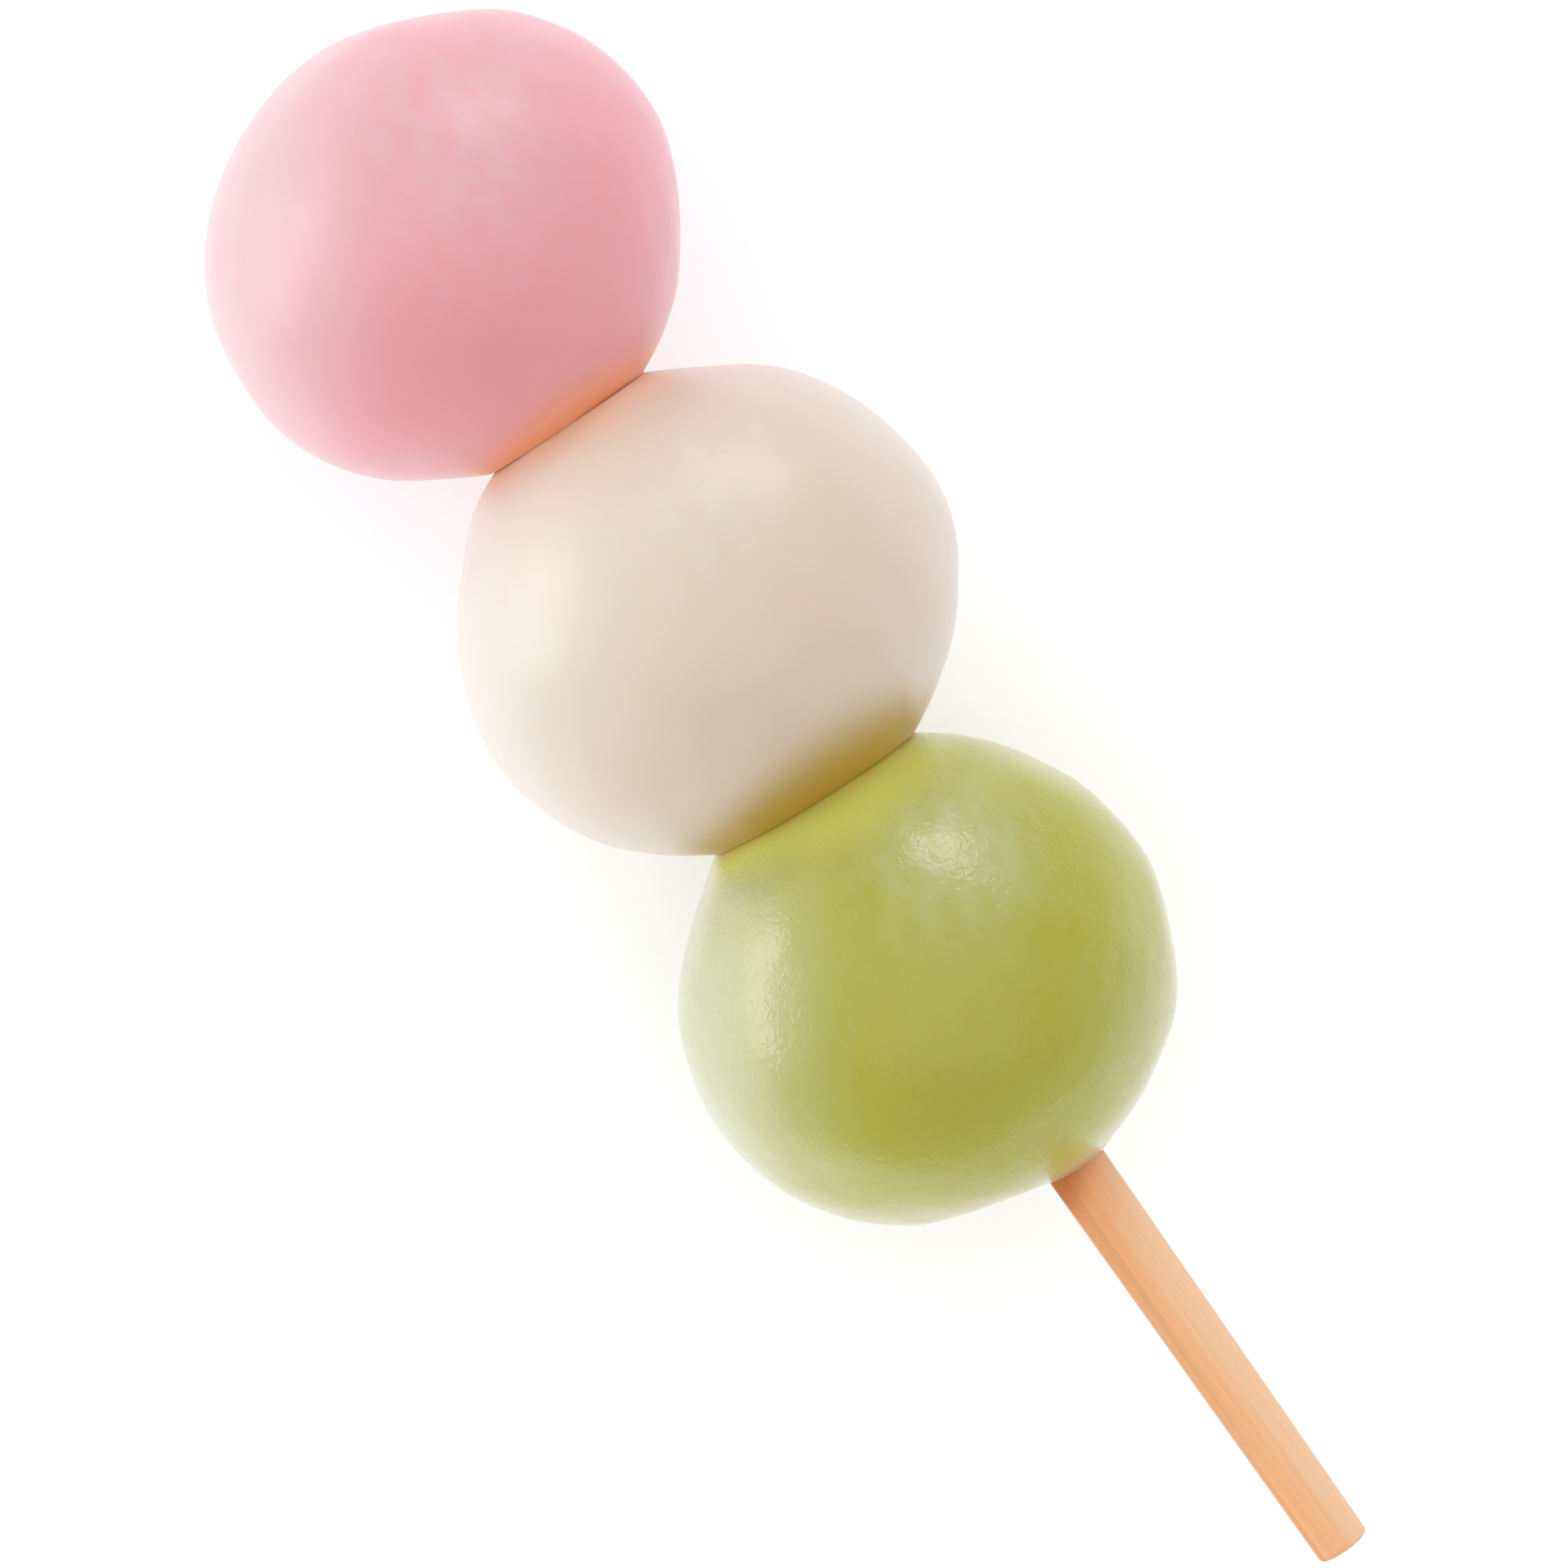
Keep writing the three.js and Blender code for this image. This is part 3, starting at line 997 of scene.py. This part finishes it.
def flecked(material, millimetres, colour):
    """Scatters flecks over a colour."""
    cells = add_node(material, "ShaderNodeTexVoronoi", {"Vector": millimetres, "Scale": 1 / FLECK_APART_MM})
    inside = add_node(
        material,
        "ShaderNodeMapRange",
        {
            "Value": cells.outputs["Distance"],
            "From Min": FLECK_MM / FLECK_APART_MM,
            "From Max": 0.0,
            "To Max": FLECK_STRENGTH,
        },
    )
    return add_node(
        material,
        "ShaderNodeMix",
        {"Factor": inside.outputs["Result"], MIX_A: colour, MIX_B: linear(FLECK_COLOUR)},
        data_type="RGBA",
    ).outputs[MIX_OUT]


# %% [markdown]
# ## Three colours of one dough
#
# The white dough is plain. The pink one is tinted all through with a little red food colour. The green one
# has the deepest wrinkles and the glossiest film, so they show where the light is brightest. Where two balls
# touch, the shade in the cleft and the light bounced off the neighbour are painted into the colour.

# %% Colour the balls
# In each dough the second colour is painted light: the paler sheen on the window's side and the highlights.
DOUGHS = {
    "pink_ball": steamed_dough(
        "steamed rice dough, pink",
        own_colour="#f0a2a9",
        painted_sheen_colour="#e7c1c4",
        # A painted orange glow of light through the white ball, with painted shade, in the cleft.
        tints=[("end_side", "#ffa678", 3.0, 1.0)],
        scatter=(1.3, 1.1, 1.0),
        wrinkle_depth=0.006,
        gloss=0.38,
        bloom=0.15,
    ),
    "white_ball": steamed_dough(
        "steamed rice dough, white",
        own_colour="#e3d1bf",
        painted_sheen_colour="#e8dfd1",
        # Painted light off the pink ball, and painted shade with light off the green ball in the other cleft.
        tints=[("point_side", "#f8d6ba", 3.0, 0.5), ("end_side", "#bc921e", 5.4, 1.0)],
        scatter=(1.8, 1.6, 1.4),
        wrinkle_depth=0.006,
        gloss=0.38,
        bloom=0.25,
    ),
    "green_ball": steamed_dough(
        "steamed rice dough, mugwort",
        own_colour="#b4b100",
        painted_sheen_colour="#c3c795",
        # Painted light off the white ball, painted shade in that cleft, and painted shade where the bamboo
        # comes out.
        tints=[
            ("point_side", "#dae072", 4.5, 1.0),
            ("point_side", "#d8c85e", 1.3, 0.7),
            ("end_side", "#b0963a", 3.0, 0.65),
        ],
        scatter=(1.8, 1.6, 0.6),
        wrinkle_depth=0.05,
        gloss=0.18,
        bloom=0.35,
        colour_with=flecked,
    ),
}
for name, material in DOUGHS.items():
    pieces[name].data.materials.append(material)
print("doughs:", [material.name for material in DOUGHS.values()])

# %% [markdown]
# ## Bamboo
#
# Turned bamboo is dry and close to matt. Its colour comes in broad zones round the stick, painted darker
# towards -Y as shade on that side, and in strips, because fibre bundles are darker than the soft tissue
# between them. Both run dead straight. A noise that is squeezed round the stick and stretched along it gives
# the strips and, finer, the single fibres, and the strips also fray the edges of the zones. The green ball's
# shadow is painted on top in two steps: a wide faint one, and a narrow strong one next to the ball.

# %% Draw the strips and fibres of the bamboo
STRIP_MM = 0.6
FIBRE_MM = 0.16
STRETCH = 60.0  # a strip is this many times longer than wide
bamboo, bamboo_mm = new_material("turned bamboo")
along_fibres = add_node(
    bamboo, "ShaderNodeVectorMath", {0: bamboo_mm, 1: (1 / STRETCH, 1.0, 1.0)}, operation="MULTIPLY"
)
strips, fibres = (
    add_node(
        bamboo,
        "ShaderNodeTexNoise",
        {"Vector": along_fibres.outputs["Vector"], "Scale": 1 / width, "Detail": detail},
    )
    for width, detail in ((STRIP_MM, 1.0), (FIBRE_MM, 2.0))
)
print("strips and fibres:", STRIP_MM, "and", FIBRE_MM, "mm wide")

# %% Mix the colours of the bamboo
FRAY = 0.55  # how far the strips shift the edges of the zones
# The zones of colour, by where they lie round the stick: 0 is the pale side at +Y and 1 the -Y side, painted
# darker as shade.
ZONES = {0.3: "#ffd2a8", 0.5: "#ffbe88", 0.7: "#fcb67c", 0.85: "#e4a36a"}
FIBRE_DARK, FIBRE_PALE, FIBRE_SHARE = "#d98c50", "#ffd8b0", 0.3
# Each step of the green ball's painted shadow: its colour, how far it reaches from the ball in mm, and its
# strength.
PAINTED_SHADOWS = [("#f89048", 9.0, 0.4), ("#c8660a", 3.8, 0.85)]
shaded_side = add_node(bamboo, "ShaderNodeAttribute", attribute_name="shaded_side")
strip_offset = add_node(bamboo, "ShaderNodeMath", {0: strips.outputs["Fac"], 1: 0.5}, operation="SUBTRACT")
frayed = add_node(
    bamboo,
    "ShaderNodeMath",
    {0: strip_offset.outputs["Value"], 1: FRAY, 2: shaded_side.outputs["Fac"]},
    operation="MULTIPLY_ADD",
)
zones = add_node(bamboo, "ShaderNodeValToRGB", {"Fac": frayed.outputs["Value"]})
stops = zones.color_ramp.elements
while len(stops) < len(ZONES):
    stops.new(0.5)
for stop, (place, colour) in zip(stops, ZONES.items()):
    stop.position = place
    stop.color = linear(colour)
fibre_colour = add_node(
    bamboo,
    "ShaderNodeMix",
    {"Factor": fibres.outputs["Fac"], MIX_A: linear(FIBRE_DARK), MIX_B: linear(FIBRE_PALE)},
    data_type="RGBA",
)
bamboo_colour = add_node(
    bamboo,
    "ShaderNodeMix",
    {"Factor": FIBRE_SHARE, MIX_A: zones.outputs["Color"], MIX_B: fibre_colour.outputs[MIX_OUT]},
    data_type="RGBA",
)
# The green ball's shadow is painted onto the stick next to it.
shadowed_colour = bamboo_colour.outputs[MIX_OUT]
for shadow in PAINTED_SHADOWS:
    shadowed_colour = tinted_near(bamboo, shadowed_colour, "point_side", *shadow)
print("bamboo zones:", ZONES)

# %% Make the bamboo
FIBRE_DEPTH = 0.02
BAMBOO_ROUGHNESS, BAMBOO_IOR = 0.55, 1.5
fibre_relief = add_node(
    bamboo, "ShaderNodeBump", {"Height": fibres.outputs["Fac"], "Distance": FIBRE_DEPTH * MM}
)
bamboo_surface = add_node(
    bamboo,
    "ShaderNodeBsdfPrincipled",
    {
        "Base Color": shadowed_colour,
        "Roughness": BAMBOO_ROUGHNESS,
        "IOR": BAMBOO_IOR,
        "Normal": fibre_relief.outputs["Normal"],
    },
)
add_node(bamboo, "ShaderNodeOutputMaterial", {"Surface": bamboo_surface.outputs["BSDF"]})
pieces["skewer"].data.materials.append(bamboo)
print("skewer:", bamboo.name)

# %% [markdown]
# ## Handing the pieces over
#
# Each fine piece now stands for its plain solid, which is no longer shown. They all ride on the one body.

# %% Replace the solids
for name, piece in pieces.items():
    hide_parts(name)
    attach(piece, "root")
print("replaced:", sorted(pieces))

# %% [markdown]
# ## Table and light
#
# The table is a plain satin white board that glows a little, as a light table does, so that shadows on it
# stay faint. It glows more on the window's side: a pool of the window's light, painted on as glow. A large
# window-like light stands low on the left, close to the board, and gives the broad pale band on that side of
# each ball. A small softbox beyond the balls makes the bright spot above each ball's middle, and a large one
# overhead lights the creases. The rest is an even light all round.

# %% Lay the board
BOARD_SIDE = 6.0  # in metres
BOARD_COLOUR, BOARD_ROUGHNESS = "#e5e7ed", 0.3
WHITE = (1.0, 1.0, 1.0, 1.0)
GLOW_FROM, GLOW_TO = -10.0, -60.0  # the glow grows from the first Y to the second, towards the window: a painted pool of its light
GLOW_LEAST, GLOW_MOST = 0.38, 0.65
corners = [(x * BOARD_SIDE / 2, y * BOARD_SIDE / 2, 0) for x, y in ((-1, -1), (1, -1), (1, 1), (-1, 1))]
board_mesh = bpy.data.meshes.new("board")
board_mesh.from_pydata(corners, [], [(0, 1, 2, 3)])
board = bpy.data.objects.new("board", board_mesh)
bpy.context.scene.collection.objects.link(board)
white_board, board_mm = new_material("satin white board")
across = add_node(white_board, "ShaderNodeSeparateXYZ", {"Vector": board_mm})
glow = add_node(
    white_board,
    "ShaderNodeMapRange",
    {
        "Value": across.outputs["Y"],
        "From Min": GLOW_FROM,
        "From Max": GLOW_TO,
        "To Min": GLOW_LEAST,
        "To Max": GLOW_MOST,
    },
    interpolation_type="SMOOTHSTEP",
)
board_surface = add_node(
    white_board,
    "ShaderNodeBsdfPrincipled",
    {
        "Base Color": linear(BOARD_COLOUR),
        "Roughness": BOARD_ROUGHNESS,
        "Emission Color": WHITE,
        "Emission Strength": glow.outputs["Result"],
    },
)
add_node(white_board, "ShaderNodeOutputMaterial", {"Surface": board_surface.outputs["BSDF"]})
board_mesh.materials.append(white_board)
board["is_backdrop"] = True
print("board:", BOARD_SIDE, "m wide")

# %% Set up the lights
LIGHT_DISTANCE = 1300.0
# Each light: bearing in the picture from its right, height above the board, how wide and how tall it looks
# from the balls, all in degrees, and watts.
LIGHTS = {
    "window on the left": (180, 3, 46, 24, 6.4),
    "softbox beyond": (80, 21, 30, 14, 2.8),
    "softbox overhead": (90, 88, 80, 80, 6.5),
}
subject = Vector(CAMERA_TARGET * MM)
level_right, level_up = (Vector((v.x, v.y, 0)).normalized() for v in (picture_right, picture_up))
for name, (bearing, height, wide, tall, watts) in LIGHTS.items():
    bearing, height = math.radians(bearing), math.radians(height)
    level = level_right * math.cos(bearing) + level_up * math.sin(bearing)
    away = level * math.cos(height) + Vector((0, 0, math.sin(height)))
    lamp = bpy.data.lights.new(name, "AREA")
    lamp.shape = "RECTANGLE"
    lamp.size, lamp.size_y = (
        2 * LIGHT_DISTANCE * MM * math.tan(math.radians(angle / 2)) for angle in (wide, tall)
    )
    lamp.energy = watts
    stand = bpy.data.objects.new(name, lamp)
    stand.location = subject + away * LIGHT_DISTANCE * MM
    stand.rotation_mode = "QUATERNION"
    stand.rotation_quaternion = away.to_track_quat("Z", "Y")
    stand.visible_camera = False
    bpy.context.scene.collection.objects.link(stand)
print("lights:", list(LIGHTS))

# %% Fill in with an even light
EVEN_LIGHT = 0.635
world = bpy.data.worlds.new("even light")
world.use_nodes = True
background = world.node_tree.nodes["Background"].inputs
background["Color"].default_value = WHITE
background["Strength"].default_value = EVEN_LIGHT
bpy.context.scene.world = world
bpy.context.scene.view_settings.view_transform = "Standard"
print("even light:", EVEN_LIGHT)

# %% [markdown]
# ## Last look at the sizes
#
# The finer pieces have to stay inside the box of the solids, so both boxes are written down to be compared.

# %% Write the sizes and finish
bounds = [list(corner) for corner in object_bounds()]
for label, corner in zip(("low", "high"), bounds):
    print(label, "corner in mm:", [round(value / MM, 2) for value in corner])
